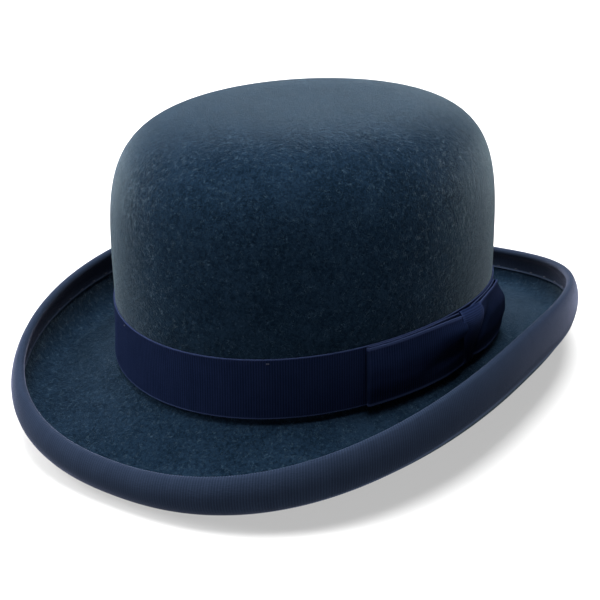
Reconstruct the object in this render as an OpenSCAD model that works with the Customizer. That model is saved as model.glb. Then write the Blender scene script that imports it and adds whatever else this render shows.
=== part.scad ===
// Bowler hat: a stiff felt crown with a deeply curled brim, a ribbon band with a flat bow,
// a ribbon-bound edge, and the sweatband and lining that finish it inside.
// The hat stands on the front and back of its brim. The front of the hat faces -Y,
// the bow is on the wearer's left (+X), and +Z is up. Angles run from the front (0)
// through the wearer's left (90) to the back (180).

/* [Crown] */
// Half width of the crown at its base, outside the felt
crown_half_w = 86.8; // [82:0.1:92]
// Half length of the crown at its base, outside the felt
crown_half_l = 102.3; // [97:0.1:107]
// Power of the head oval (2 is a plain ellipse)
crown_power = 2; // [1.9:0.05:2.2]
// Height of the crown above its base
crown_h = 113.6; // [100:0.1:125]
// How much the crown widens toward the top, as a share of its base
crown_swell = 0.019; // [0:0.001:0.04]
// Fullness of the dome's shoulder, measured up the side
dome_rise = 6.1; // [4:0.1:7]
// Fullness of the dome's shoulder, measured across the top
dome_side = 4.2; // [3:0.1:5]
// Thickness of the felt
felt_t = 2.4; // [2:0.1:3]

/* [Brim] */
// Half width of the brim at its bound edge
brim_half_w = 116.4; // [113:0.1:120]
// Half length of the brim at its bound edge
brim_half_l = 150.6; // [146:0.1:155]
// Power of the brim oval (2 is a plain ellipse)
brim_power = 2.44; // [2.2:0.02:2.6]
// How far the brim oval sits toward the back of the hat
brim_back = 2.3; // [0:0.1:4]
// Height of the crown's base above the surface that the hat stands on
base_z = 23.3; // [21:0.1:27]
// Radius of the bend where the crown turns into the brim
root_r = 5; // [4:0.5:6]
// Slope of the brim where it leaves that bend
root_slope = 30; // [28:1:36]
// Horizontal radius of the rolled curl
curl_out = 15.9; // [14:0.1:17]
// How far the curl leans back in over the brim, past upright
curl_lean = 43; // [30:1:45]

/* [Ribbon] */
// Width of the band ribbon
band_w = 26.8; // [22:0.1:30]
// Thickness of every grosgrain ribbon
ribbon_t = 0.6; // [0.5:0.05:0.7]
// Width of the edge ribbon on the outside of the curl
bind_out = 17; // [13:0.5:18]
// Width of the edge ribbon on the inside of the curl
bind_in = 12; // [9:0.5:13]
// Angle at which the folded front end of the bow lies
bow_front_end = 47.5; // [40:0.5:55]
// Angle of the middle of the bow's knot
bow_mid = 86; // [85:0.5:92]
// Angle at which the folded back end of the bow lies
bow_rear_end = 118; // [115:0.5:132]
// Width of the knot along the band
knot_w = 13; // [10:0.5:15]

/* [Sweatband] */
// Height of the leather sweatband
sweat_h = 38; // [32:0.5:45]
// Thickness of the sweatband leather
sweat_t = 1.1; // [0.9:0.1:1.4]
// Diameter of the reed inside the sweatband's lower edge
reed_d = 1.8; // [1.4:0.1:2.2]

/* [Lining] */
// Thickness of the satin
satin_t = 0.5; // [0.4:0.05:0.6]
// Clear gap between the felt and the lining
lining_gap = 1.2; // [1:0.1:2]
// Thickness of the clear guard film
film_t = 0.3; // [0.2:0.05:0.4]

/* [Stitches] */
// Thickness of the sewing thread
thread_d = 0.5; // [0.4:0.05:0.6]
// Number of stitches round the brim binding
bind_stitches = 72; // [48:4:96]
// Number of stitches round the sweatband
sweat_stitches = 48; // [36:4:60]

/* [Hidden] */

steps = 64;              // stations round the hat
a_step = 360 / steps;
a_first = a_step / 2;    // a flat of the outline, not a corner, faces each way
clear = 0.15;            // gap kept between layers that lie on each other

edge_z = 34.6;           // mean height of the bound edge
edge_dip = 13.6;         // how much lower it is at the front and back than at the sides
edge_tilt = 1.1;         // how much lower it is at the front than at the back
edge_flat = 1.7;         // squares up the dip so that the sides stay level
curl_h = 25.8;           // mean height of the curl
curl_h_side = 6.5;       // how much taller it is at the sides
curl_turn = 90 + curl_lean;
bind_gap = 0.25;         // room for the glue under the edge ribbon
edge_r = felt_t / 2 + bind_gap + ribbon_t;       // radius of the bound edge
curl_stop = curl_turn - edge_r / curl_out * 180 / PI;  // the felt stops short by that much
band_tip = 2.2;          // the band sits higher at the front by this much
band_dip = 3;            // and lower at the front and back than at the sides
band_flare = 1.5;        // the band's lower edge stands off the crown by this much
apex_u = 87;             // where the dome's rings end and its flat cap starts
crown_y = -2.24;         // the crown's axis, with the middle of the whole hat over the origin

dome_us = [8, 17, 26, 35, 44, 53, 62, 70, 77, 83, apex_u];

// ---- Curves of the hat ----

// Radius of an oval in the direction a
function oval(a, half_w, half_l, power) =
  pow(pow(abs(sin(a)) / half_w, power) + pow(abs(cos(a)) / half_l, power), -1 / power);

// Width of the dome at height share t, as a share of the base
function dome(t) = (1 + crown_swell * t) * pow(1 - pow(min(max(t, 0), 1), dome_rise), 1 / dome_side);

// Height share at which the dome has come u degrees round from its side to its top
function dome_t(u) = pow(sin(u), 2 / dome_rise);

// Outer radius of the crown at angle a and height z
function crown_r(a, z) = oval(a, crown_half_w, crown_half_l, crown_power) * dome((z - base_z) / crown_h);

// Height of the band's lower edge, where the crown starts to bend into the brim
function band_z(a) = base_z + band_tip * cos(a) - band_dip * cos(2 * a);

function rim_r(a) = oval(a, brim_half_w, brim_half_l, brim_power) - brim_back * cos(a);
function rim_z(a) = edge_z - edge_tilt * cos(a) - edge_dip * cos(2 * a) - edge_flat * cos(4 * a);
function rim_h(a) = curl_h - edge_tilt * cos(a) - curl_h_side * cos(2 * a);

// A point [radius, height] of the section at angle a, in space
function place(a, p) = [p[0] * sin(a), crown_y - p[0] * cos(a), p[1]];

// Direction square to a path of section points, toward the top side of the felt
function square_to(path, i) =
  let(d = path[min(i + 1, len(path) - 1)] - path[max(i - 1, 0)]) [-d[1], d[0]] / norm(d);

function beside(path, gap) = [for (i = [0:len(path) - 1]) path[i] + gap * square_to(path, i)];
function backward(path) = [for (i = [len(path) - 1:-1:0]) path[i]];

function bezier(p, u) = pow(1 - u, 3) * p[0] + 3 * u * pow(1 - u, 2) * p[1]
  + 3 * u * u * (1 - u) * p[2] + pow(u, 3) * p[3];

// Outside of the crown, from its cap down to the band's lower edge
function crown_outside(a) = concat(
  [for (i = [len(dome_us) - 1:-1:0])
    let(z = base_z + crown_h * dome_t(dome_us[i])) [crown_r(a, z), z]],
  [for (t = [0.38, 0.24]) let(z = base_z + crown_h * t) [crown_r(a, z), z]],
  [[crown_r(a, band_z(a)), band_z(a)]]);

// Middle of the felt from the bend at the crown's foot to the bound edge
root_steps = 4;
slope_steps = 4;
curl_steps = 11;
function brim_middle(a) = let(
  wall = crown_r(a, band_z(a)) - felt_t / 2,
  height = rim_h(a) / (1 - cos(curl_turn)),
  low_r = rim_r(a) - curl_out * sin(curl_turn),
  low_z = rim_z(a) - rim_h(a),
  sweep = 90 - root_slope,
  from = [wall + root_r * (1 - cos(sweep)), band_z(a) - root_r * sin(sweep)],
  to = [low_r, low_z + felt_t / 2],
  corner = [from[0] + (from[1] - to[1]) / tan(root_slope), to[1]],
  pull = [from, from + 0.6 * (corner - from), to + 0.6 * (corner - to), to])
  concat(
    [for (i = [1:root_steps]) let(b = sweep * i / root_steps)
      [wall + root_r * (1 - cos(b)), band_z(a) - root_r * sin(b)]],
    [for (i = [1:slope_steps]) bezier(pull, i / slope_steps)],
    [for (i = [1:curl_steps]) let(b = curl_stop * i / curl_steps)
      [low_r + (curl_out - edge_r) * sin(b), low_z + height - (height - felt_t / 2) * cos(b)]]);

// Middle of the felt all the way from the cap to the bound edge
function felt_middle(a) = concat(beside(crown_outside(a), -felt_t / 2), brim_middle(a));

// Half a turn of thickness round the end of a path, from its top side to its underside
function round_end(path, gap) = let(
  last = path[len(path) - 1], n = square_to(path, len(path) - 1), along = [n[1], -n[0]])
  [for (b = [45, 90, 135]) last + gap * (cos(b) * n + sin(b) * along)];

function felt_section(a) = let(mid = felt_middle(a))
  concat(beside(mid, felt_t / 2), round_end(mid, felt_t / 2), backward(beside(mid, -felt_t / 2)));

// Length of a path up to each of its points
function lengths(path) = [for (i = 0, s = 0; i < len(path);
  s = s + (i + 1 < len(path) ? norm(path[i + 1] - path[i]) : 0), i = i + 1) s];

// The point of a path that is s along it
function point_at(path, sums, s) = let(
  i = max([for (k = [0:len(path) - 2]) if (k == 0 || sums[k] <= s) k]))
  path[i] + (path[i + 1] - path[i]) * (s - sums[i]) / (sums[i + 1] - sums[i]);

// The last stretch of a path, reach long, as count even steps
function tail_of(path, reach, count) = let(sums = lengths(path), whole = sums[len(path) - 1])
  [for (i = [0:count]) point_at(path, sums, whole - reach * (1 - i / count))];

function binding_section(a) = let(
  mid = brim_middle(a),
  rest = felt_t / 2 + bind_gap,
  top = tail_of(mid, bind_in, 5),
  low = tail_of(mid, bind_out, 6))
  concat(
    beside(top, rest + ribbon_t), round_end(mid, rest + ribbon_t), backward(beside(low, -rest - ribbon_t)),
    beside(low, -rest), backward(round_end(mid, rest)), backward(beside(top, rest)));

// ---- Solids from sections ----

// Faces of a skin over rows of points; cols_close joins each row's end to its start
function skin_faces(rows, cols, cols_close, rows_close) = [
  for (j = [0:rows - (rows_close ? 1 : 2)])
    for (k = [0:cols - (cols_close ? 1 : 2)])
      let(j2 = (j + 1) % rows, k2 = (k + 1) % cols,
        p = j * cols + k, q = j2 * cols + k, r = j2 * cols + k2, s = j * cols + k2)
      each [[p, q, r], [p, r, s]]];

// A closed ring round the hat with the same number of points in each section
module ring(sections) {
  cols = len(sections[0]);
  points = [for (j = [0:steps - 1]) for (p = sections[j]) place(a_first + j * a_step, p)];
  polyhedron(points, skin_faces(steps, cols, true, true));
}

// A thick cup that is closed by a cap on its outside and one on its inside
module cup(sections, outer_z, inner_z) {
  cols = len(sections[0]);
  points = [for (j = [0:steps - 1]) for (p = sections[j]) place(a_first + j * a_step, p)];
  count = len(points);
  outer_fan = [for (j = [0:steps - 1]) [count, ((j + 1) % steps) * cols, j * cols]];
  inner_fan = [for (j = [0:steps - 1])
    [count + 1, j * cols + cols - 1, ((j + 1) % steps) * cols + cols - 1]];
  polyhedron(
    concat(points, [[0, crown_y, outer_z], [0, crown_y, inner_z]]),
    concat(skin_faces(steps, cols, false, true), outer_fan, inner_fan));
}

// A bar through rows of section points, closed at both ends
module bar(rows) {
  cols = len(rows[0]);
  last = (len(rows) - 1) * cols;
  ends = [[for (k = [0:cols - 1]) k], [for (k = [cols - 1:-1:0]) last + k]];
  polyhedron([for (row = rows) each row], concat(skin_faces(len(rows), cols, true, false), ends));
}

// Angles of the stations round the hat
function stations() = [for (j = [0:steps - 1]) a_first + j * a_step];

// ---- Felt ----

module felt_body() {
  color("#2b3f4e")
    cup([for (a = stations()) felt_section(a)],
      base_z + crown_h * dome_t(apex_u), base_z + crown_h * dome_t(apex_u) - felt_t);
}

// ---- Band and bow ----

// Gap between the crown and the back of the band at share f of its height
function band_gap(f) = clear + band_flare * pow(1 - f, 2);

// A point on the outside of the band: share f of its height, out from its back by d
function on_band(a, f, d) = let(z = band_z(a) + f * band_w) [crown_r(a, z) + band_gap(f) + d, z];

band_shares = [0, 0.25, 0.5, 1];

module hat_band() {
  color("#262d4a")
    ring([for (a = stations()) concat(
      [for (f = band_shares) on_band(a, f, 0)],
      [for (f = backward(band_shares)) on_band(a, f, ribbon_t)])]);
}

// One flat loop of ribbon that lies on the band from the knot to its folded end.
// Its height shares run from low to high at the fold, and narrow to pinch at the knot.
module bow_loop(from, to, rise, pinch) {
  turns = 6;
  straight = 6;
  lift = ribbon_t + clear;
  function height_share(s, f) = 0.5 + (f - 0.5) * (pinch + (1 - pinch) * min(1, s * 1.6));
  // Where the loop's middle line runs: [share of the way to the fold, distance off the band]
  out_leg = [for (i = [0:straight]) [i / straight, lift + ribbon_t / 2]];
  fold = [for (i = [1:turns - 1]) let(b = 180 * i / turns)
    [1 + 0.012 * sin(b), lift + ribbon_t / 2 + rise * (1 - cos(b)) / 2]];
  back_leg = [for (i = [straight:-1:0]) let(s = i / straight)
    [s, lift + ribbon_t / 2 + rise * (1 + 0.5 * sin(180 * s))]];
  line = concat(out_leg, fold, back_leg);
  rows = [for (i = [0:len(line) - 1])
    let(s = line[i][0], a = from + (to - from) * s, n = loop_side(line, i, to - from))
      [for (c = [[0, -1], [1, -1], [1, 1], [0, 1]])
        let(f = height_share(s, c[0] == 0 ? 0.03 : 0.97), d = line[i][1] + c[1] * n[1] * ribbon_t / 2)
          place(a + c[1] * n[0], on_band(a, f, d))]];
  bar(rows);
}

// Direction square to the loop's line, as [degrees round the hat, share of the distance out]
function loop_side(line, i, span) = let(
  reach = crown_half_w * span * PI / 180,
  p = line[max(i - 1, 0)], q = line[min(i + 1, len(line) - 1)],
  d = [(q[0] - p[0]) * reach, q[1] - p[1]], n = [-d[1], d[0]] / norm(d))
  [n[0] * ribbon_t / 2 / crown_half_w * 180 / PI, n[1]];

knot_a = knot_w / 2 / crown_half_w * 180 / PI;   // half the angle that the knot covers

module bow_front_loop() {
  color("#2a2f4f") bow_loop(bow_mid - knot_a * 0.75, bow_front_end, 1.8, 0.8);
}

module bow_rear_loop() {
  color("#2a2f4f") bow_loop(bow_mid + knot_a * 0.75, bow_rear_end, 2.5, 0.8);
}

// A short ribbon wrapped round the middle of both loops and the band
module bow_knot() {
  knot_t = 1;
  over = 0.03;           // it turns in round the band's edges, past them by this share
  function side(f, d) = [for (e = [-1, -0.5, 0, 0.5, 1])
    place(bow_mid + e * knot_a * (0.75 + 0.25 * f), on_band(bow_mid, f, d))];
  color("#333a5c")
    bar([for (f = [-over, 0, 0.06, 0.16, 0.3, 0.5, 0.7, 0.84, 0.94, 1, 1 + over])
      let(swell = 5.6 * pow(sin(180 * (f + over) / (1 + 2 * over)), 0.4))
      concat(side(f, swell + knot_t), backward(side(f, swell)))]);
}

// One hand stitch: a bar of thread at a point, headed for a point further round the hat
module thread_bar(at, ahead, length, tilt = 0) {
  translate(at)
    rotate([0, 0, atan2(ahead[1] - at[1], ahead[0] - at[0])])
      rotate([0, tilt, 0])
        cube([length, thread_d, thread_d], center = true);
}

// A point on the outside of the band, in space
function band_point(a, f, d) = place(a, on_band(a, f, d));

// Inside each fold, where they hold the bow's ends to the band
module bow_tacks() {
  d = 2 * ribbon_t + clear + thread_d / 2 + 0.15;
  color("#1d2238")
    for (a = [bow_front_end + 2, bow_rear_end - 2])
      for (f = [0.15, 0.85])
        thread_bar(band_point(a, f, d), band_point(a + 1, f, d), 1.6);
}

// Along the band's upper edge, clear of the bow
module band_tacks() {
  d = ribbon_t + thread_d / 2 + 0.1;
  color("#1d2238")
    for (a = [22.5:45:340])
      if (a < bow_front_end || a > bow_rear_end)
        thread_bar(band_point(a, 0.93, d), band_point(a + 1, 0.93, d), 1.5);
}

// ---- Edge ribbon ----

module brim_binding() {
  color("#3a4260") ring([for (a = stations()) binding_section(a)]);
}

// Where the binding is sewn down: just inside its inner edge
function binding_seam(a) = let(seam = tail_of(brim_middle(a), bind_in - 1.5, 5))
  place(a, beside(seam, edge_r + thread_d / 2 + 0.35)[0]);

module binding_stitches() {
  color("#20263c")
    for (i = [0:bind_stitches - 1])
      let(a = i * 360 / bind_stitches)
        thread_bar(binding_seam(a), binding_seam(a + 1), 2.4);
}

// ---- Inside ----

sweat_foot = 1.4;        // the sweatband's foot stands this far inside the felt
sweat_lean = 0.8;        // and its top edge stands in by this much more
tape_t = 0.35;           // thickness of the reed's tape
tape_h = 8;              // height of the tape's sewn edge above the reed's underside

// Height of the reed's underside
function sweat_low(a) = band_z(a) - 2;

// A point on the felt side of the sweatband, at height h above the reed's underside
function on_sweatband(a, h) = let(z = sweat_low(a) + h)
  [crown_r(a, z) - felt_t - sweat_foot - sweat_lean * h / sweat_h, z];

// A band of cloth or leather with thickness t on both sides of a path
function strip(path, t) = concat(beside(path, t / 2), backward(beside(path, -t / 2)));

// A point off the inner face of the sweatband, in space
function leather_face(a, h, off) = place(a, on_sweatband(a, h) - [sweat_t + off, 0]);

module sweatband() {
  color("#5b3a26")
    ring([for (a = stations())
      strip([for (i = [5:-1:0]) let(h = reed_d + 0.5 + (sweat_h - reed_d) * i / 5)
        on_sweatband(a, h) - [sweat_t / 2, 0]], sweat_t)]);
}

// Middle of the reed's section
function reed_at(a) = [crown_r(a, band_z(a)) - felt_t - sweat_foot - sweat_t / 2, sweat_low(a) + reed_d / 2];

module sweatband_reed() {
  color("#d9d2c0")
    ring([for (a = stations())
      [for (k = [0:7]) reed_at(a) + reed_d / 2 * [cos(-45 * k), sin(-45 * k)]]]);
}

// The tape folds round the reed and runs up behind the sweatband, where it is sewn to the felt
module reed_tape() {
  wrap = reed_d / 2 + clear + tape_t / 2;
  color("#1b1d24")
    ring([for (a = stations())
      strip(concat(
        [for (h = [tape_h, tape_h / 2]) on_sweatband(a, h) + [0.45, 0]],
        [for (k = [0:5]) reed_at(a) + wrap * [cos(-36 * k), sin(-36 * k)]]), tape_t)]);
}

module sweatband_stitches() {
  color("#c9b38a")
    for (i = [0:sweat_stitches - 1])
      let(a = (i + 0.5) * 360 / sweat_stitches)
        thread_bar(leather_face(a, 4.5, thread_d / 2 + 0.2), leather_face(a + 1, 4.5, thread_d / 2 + 0.2), 2.6);
}

// The sweatband's ends meet at the back and are drawn together by a zigzag of thread
module sweatband_seam_stitches() {
  count = 9;
  pitch = 2.8;
  first_h = 14;
  color("#c9b38a")
    for (i = [0:count - 1])
      thread_bar(leather_face(180, first_h + i * pitch, thread_d / 2 + 0.2),
        leather_face(181, first_h + i * pitch, thread_d / 2 + 0.2), 4, i % 2 == 0 ? 30 : -30);
}

// A small flat bow on the inside of the seam
module sweatband_bow() {
  color("#3d2718")
    translate(leather_face(180, 9.5, 1.3))
      rotate([90, 0, 0])
        linear_extrude(0.9, center = true)
          union() {
            polygon([[0, -1.2], [7, -2.8], [9, -2.4], [9, 2.4], [7, 2.8], [0, 1.2],
              [-7, 2.8], [-9, 2.4], [-9, -2.4], [-7, -2.8]]);
            circle(d = 4.2, $fn = 24);
          }
}

lining_low = 30;         // the lining's side starts this far over the crown's base
side_us = [62, 53, 44, 34, 24, 14];
tip_us = [apex_u, 81, 74, 68];
joint_u = 65;            // the piping lies between the side and the tip
piping_d = 1.6;

// Outside of the crown at the given turns of its dome
function dome_path(a, us) = [for (u = us) let(z = base_z + crown_h * dome_t(u)) [crown_r(a, z), z]];

// Both faces of the satin under a stretch of the crown
function satin(path) = concat(
  beside(path, -felt_t - lining_gap), backward(beside(path, -felt_t - lining_gap - satin_t)));

module lining_side() {
  color("#2a2a31")
    ring([for (a = stations()) satin(concat(dome_path(a, side_us),
      [for (z = [base_z + lining_low + 14, base_z + lining_low]) [crown_r(a, z), z]]))]);
}

module lining_tip() {
  top = base_z + crown_h * dome_t(apex_u) - felt_t - lining_gap;
  color("#2a2a31")
    cup([for (a = stations()) satin(dome_path(a, tip_us))], top, top - satin_t);
}

module lining_piping() {
  color("#4a4a55")
    ring([for (a = stations())
      let(c = beside(dome_path(a, [joint_u + 1, joint_u, joint_u - 1]), -felt_t - lining_gap - satin_t / 2)[1])
        [for (k = [0:5]) c + piping_d / 2 * [cos(-60 * k), sin(-60 * k)]]]);
}

// A clear oval film that keeps the maker's place on the lining clean
module lining_guard() {
  top = base_z + crown_h * dome_t(apex_u) - felt_t - lining_gap - satin_t - 1;
  color("#dfe6ea", 0.5)
    translate([0, crown_y, top - film_t])
      linear_extrude(film_t)
        scale(0.2)
          polygon([for (a = stations()) 5 * [32 * sin(a), 44 * cos(a)]]);
}

// A blank paper ticket that stands behind the sweatband at the back
module size_ticket() {
  ticket = [12, 0.3, 14];
  z = sweat_low(180) + tape_h + 2 + ticket[2] / 2;
  color("#ece8da")
    translate([0, crown_y + crown_r(180, z) - felt_t - 0.7, z])
      cube(ticket, center = true);
}

felt_body();
hat_band();
bow_front_loop();
bow_rear_loop();
bow_knot();
bow_tacks();
band_tacks();
brim_binding();
binding_stitches();
sweatband();
sweatband_reed();
reed_tape();
sweatband_stitches();
sweatband_seam_stitches();
sweatband_bow();
lining_side();
lining_tip();
lining_piping();
lining_guard();
size_ticket();
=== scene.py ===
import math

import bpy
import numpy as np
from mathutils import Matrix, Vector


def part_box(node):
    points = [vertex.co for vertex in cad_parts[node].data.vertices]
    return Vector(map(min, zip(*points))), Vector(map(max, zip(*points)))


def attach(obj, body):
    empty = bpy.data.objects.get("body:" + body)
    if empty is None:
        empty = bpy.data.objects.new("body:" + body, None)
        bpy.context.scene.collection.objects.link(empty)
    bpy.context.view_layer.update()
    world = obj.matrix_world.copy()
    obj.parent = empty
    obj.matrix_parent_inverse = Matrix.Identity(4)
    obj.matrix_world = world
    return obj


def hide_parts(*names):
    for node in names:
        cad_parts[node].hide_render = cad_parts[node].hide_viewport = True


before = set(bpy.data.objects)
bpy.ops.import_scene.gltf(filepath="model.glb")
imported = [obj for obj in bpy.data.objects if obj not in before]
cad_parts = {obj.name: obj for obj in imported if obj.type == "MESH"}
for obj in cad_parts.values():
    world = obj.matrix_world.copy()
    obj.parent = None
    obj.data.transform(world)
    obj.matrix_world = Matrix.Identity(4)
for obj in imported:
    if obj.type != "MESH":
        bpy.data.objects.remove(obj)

# %% [markdown]
# # A bowler hat
# A bowler is a crown and a brim in one piece of stiffened fur felt. A ribbon with a flat bow
# goes round the foot of the crown, a second ribbon wraps the edge of the brim, and the inside
# has a leather sweatband and a satin lining. Each of those is a piece of its own below. The cloth,
# felt and leather are made the way a hatter makes them: a flat piece is cut, and is then laid on
# the hat's shape.

scene = bpy.context.scene
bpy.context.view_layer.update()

# %% [markdown]
# ## The shape that every piece follows
# The hat is described by one section at each angle round it. Angles run from the front of the
# hat (0) through the wearer's left, where the bow is, to the back (half a turn). Sculpting could
# find the form too, but with one rule for all of them the pieces fit each other everywhere. The
# functions take whole rows of numbers at once, so they place thousands of points quickly.

# %% Sizes of the crown and the brim, in metres
MM = 0.001
full_turn = 2 * math.pi
felt_t = 2.4 * MM
crown_half_w = 86.8 * MM
crown_half_l = 102.3 * MM
crown_h = 113.6 * MM
crown_y = -2.24 * MM  # the crown's middle, front to back
base_z = 23.3 * MM  # the crown's foot, over the floor
crown_swell = 0.019  # share by which the crown's wall widens on the way up
dome_rise = 6.1  # this power and the next set how square the shoulder of the crown is
dome_side = 4.2
brim_half_w = 116.4 * MM
brim_half_l = 150.6 * MM
brim_power = 2.44  # 2 is an ellipse, and more is squarer
brim_back = 2.3 * MM  # the brim reaches this much more behind, and this much less in front
root_r = 5 * MM  # the bend between the crown and the brim
root_slope = math.radians(30)
curl_out = 15.9 * MM
curl_turn = math.radians(133)  # how far the edge of the brim is rolled over
ribbon_t = 0.6 * MM
bind_gap = 0.25 * MM
clear = 0.15 * MM
band_w = 26.8 * MM
band_flare = 1.5 * MM  # how far the band's lower edge stands off the crown
edge_r = felt_t / 2 + bind_gap + ribbon_t  # the fold of the ribbon over the brim's edge
curl_stop = curl_turn - edge_r / curl_out
print("crown's foot:", round(2 * crown_half_w, 4), "by", round(2 * crown_half_l, 4), "m")


# %% Outlines seen from above, and heights round the hat
def oval(a, half_w, half_l, power):
    """Radius of an oval in the direction a."""
    return ((abs(np.sin(a)) / half_w) ** power + (abs(np.cos(a)) / half_l) ** power) ** (-1 / power)


def dome(t):
    """Width of the crown at height share t, as a share of its base."""
    return (1 + crown_swell * t) * (1 - np.clip(t, 0, 1) ** dome_rise) ** (1 / dome_side)


def crown_r(a, z):
    """Outside of the crown at angle a and height z."""
    return oval(a, crown_half_w, crown_half_l, 2) * dome((z - base_z) / crown_h)


def band_z(a):
    """Height of the band's lower edge, which is lowest behind and highest at the sides."""
    return base_z + (2.2 * np.cos(a) - 3 * np.cos(2 * a)) * MM


def rim_r(a):
    """How far out the brim reaches."""
    return oval(a, brim_half_w, brim_half_l, brim_power) - brim_back * np.cos(a)


def rim_z(a):
    """Height of the brim's bound edge over the floor."""
    return (34.6 - 1.1 * np.cos(a) - 13.6 * np.cos(2 * a) - 1.7 * np.cos(4 * a)) * MM


def rim_h(a):
    """Height of the curl, from its lowest point up to the bound edge."""
    return (25.8 - 1.1 * np.cos(a) - 6.5 * np.cos(2 * a)) * MM


edge_heights = [round(float(rim_z(a)), 4) for a in (0, math.pi / 2)]
print("the brim's edge is", edge_heights[0], "m up in front and", edge_heights[1], "at the sides")


# %% Working with a section
def place(a, line):
    """Rows of [radius, height] at angle a, as points in space."""
    return np.stack([line[:, 0] * np.sin(a), crown_y - line[:, 0] * np.cos(a), line[:, 1]], axis=1)


def beside(line, gap):
    """The same line moved square to itself, toward the top side of the felt."""
    d = np.gradient(line, axis=0)
    d /= np.linalg.norm(d, axis=1)[:, None]
    return line + gap * np.stack([-d[:, 1], d[:, 0]], axis=1)


def evenly(line, start, stop, count):
    """Points on a line at even steps between two lengths along it. Below zero counts from its end."""
    lengths = np.concatenate([[0], np.cumsum(np.linalg.norm(np.diff(line, axis=0), axis=1))])
    start, stop = (s + lengths[-1] if s < 0 else s for s in (start, stop))
    at = np.linspace(start, stop, count)
    return np.stack([np.interp(at, lengths, line[:, 0]), np.interp(at, lengths, line[:, 1])], axis=1)


def crown_line(a):
    """Outside of the crown, from the middle of its top down to the band's lower edge."""
    cap_rows, wall_rows = 31, 58
    share = np.linspace(0, 0.9, cap_rows)
    cap = (1 - share ** dome_side) ** (1 / dome_rise)
    low = (band_z(a) - base_z) / crown_h
    t = np.concatenate([cap, np.linspace(cap[-1], low, wall_rows + 1)[1:]])
    wide = np.concatenate([(1 + crown_swell * cap) * share, dome(t[cap_rows:])])
    return np.stack([oval(a, crown_half_w, crown_half_l, 2) * wide, base_z + crown_h * t], axis=1)


def brim_line(a):
    """Middle of the felt: the bend at the crown's foot, the slope of the brim, and the curl."""
    wall = crown_r(a, band_z(a)) - felt_t / 2
    height = rim_h(a) / (1 - math.cos(curl_turn))
    low_r = rim_r(a) - curl_out * math.sin(curl_turn)
    low_z = rim_z(a) - rim_h(a)
    sweep = math.pi / 2 - root_slope
    b = np.linspace(0, sweep, 13)[1:, None]
    root = np.hstack([wall + root_r * (1 - np.cos(b)), band_z(a) - root_r * np.sin(b)])
    start, end = root[-1], np.array([low_r, low_z + felt_t / 2])
    corner = np.array([start[0] + (start[1] - end[1]) / math.tan(root_slope), end[1]])
    u = np.linspace(0, 1, 23)[1:, None]
    reach = 0.6
    pull, draw = start + reach * (corner - start), end + reach * (corner - end)
    slope = ((1 - u) ** 3 * start + 3 * u * (1 - u) ** 2 * pull
             + 3 * u * u * (1 - u) * draw + u ** 3 * end)
    c = np.linspace(0, curl_stop, 45)[1:, None]
    curl = np.hstack([low_r + (curl_out - edge_r) * np.sin(c),
                      low_z + height - (height - felt_t / 2) * np.cos(c)])
    return np.vstack([root, slope, curl])


print("rows in a section of felt:", len(crown_line(0)) + len(brim_line(0)))


# %% [markdown]
# ## Laying a flat piece on the shape
# Ribbon, leather, satin and felt all start flat. In Blender that is a grid from Add > Mesh. The
# grid keeps a UV map of where each point was when the piece was flat, so a weave drawn on the UV
# map follows the cloth wherever it goes. Each point is then moved to its place on the hat. The
# Cloth or Shrinkwrap modifier could lay it too, but here each thread lands where it belongs.

# %% Flat grid, moved onto a shape
def select_only(*pieces):
    """Leaves Object mode with only these pieces selected, the first of them active."""
    if bpy.context.object and bpy.context.object.mode != "OBJECT":
        bpy.ops.object.mode_set(mode="OBJECT")
    bpy.ops.object.select_all(action="DESELECT")
    for piece in pieces:
        piece.select_set(True)
    bpy.context.view_layer.objects.active = pieces[0] if pieces else None


def lay_flat_piece(name, shape):
    """A flat grid whose points go to shape[along][across]."""
    select_only()
    along, across = shape.shape[0] - 1, shape.shape[1] - 1
    bpy.ops.mesh.primitive_grid_add(x_subdivisions=along, y_subdivisions=across, size=1,
                                    location=(0, 0, 0))
    piece = bpy.context.object
    piece.name = piece.data.name = name
    flat = np.empty(len(piece.data.vertices) * 3)
    piece.data.vertices.foreach_get("co", flat)
    flat = flat.reshape(-1, 3) + 0.5
    column = np.rint(flat[:, 0] * along).astype(int)
    row = np.rint(flat[:, 1] * across).astype(int)
    piece.data.vertices.foreach_set("co", shape[column, row].ravel())
    piece.data.update()
    return piece


# %% Joining ends, giving thickness, smoothing
def join_ends(piece):
    """Merges points that meet, such as the ends of a ring, and turns the faces one way, outward."""
    select_only(piece)
    bpy.ops.object.mode_set(mode="EDIT")
    bpy.ops.mesh.select_all(action="SELECT")
    bpy.ops.mesh.remove_doubles(threshold=0.02 * MM)
    bpy.ops.mesh.normals_make_consistent(inside=False)
    bpy.ops.object.mode_set(mode="OBJECT")


def give_thickness(piece, thickness):
    """Solidify, applied: the flat piece was its middle."""
    select_only(piece)
    solidify = piece.modifiers.new("thickness", "SOLIDIFY")
    solidify.thickness = thickness
    solidify.offset = 0
    solidify.use_rim = True
    bpy.ops.object.modifier_apply(modifier=solidify.name)


def finish_piece(piece, nodes, material, angle=50):
    """Shades a piece, gives it its material, and hangs it on the frame."""
    select_only(piece)
    bpy.ops.object.shade_smooth_by_angle(angle=math.radians(angle))
    piece.data.materials.clear()
    piece.data.materials.append(material)
    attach(piece, "root")
    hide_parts(*nodes)
    print(piece.name, len(piece.data.polygons), "faces")


def stretch_uv(piece, along, across):
    """Scales the UV map, so that it counts ribs along a ribbon."""
    uv = piece.data.uv_layers.active.data
    values = np.empty(len(uv) * 2)
    uv.foreach_get("uv", values)
    values = values.reshape(-1, 2) * (along, across)
    uv.foreach_set("uv", values.ravel())


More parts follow.
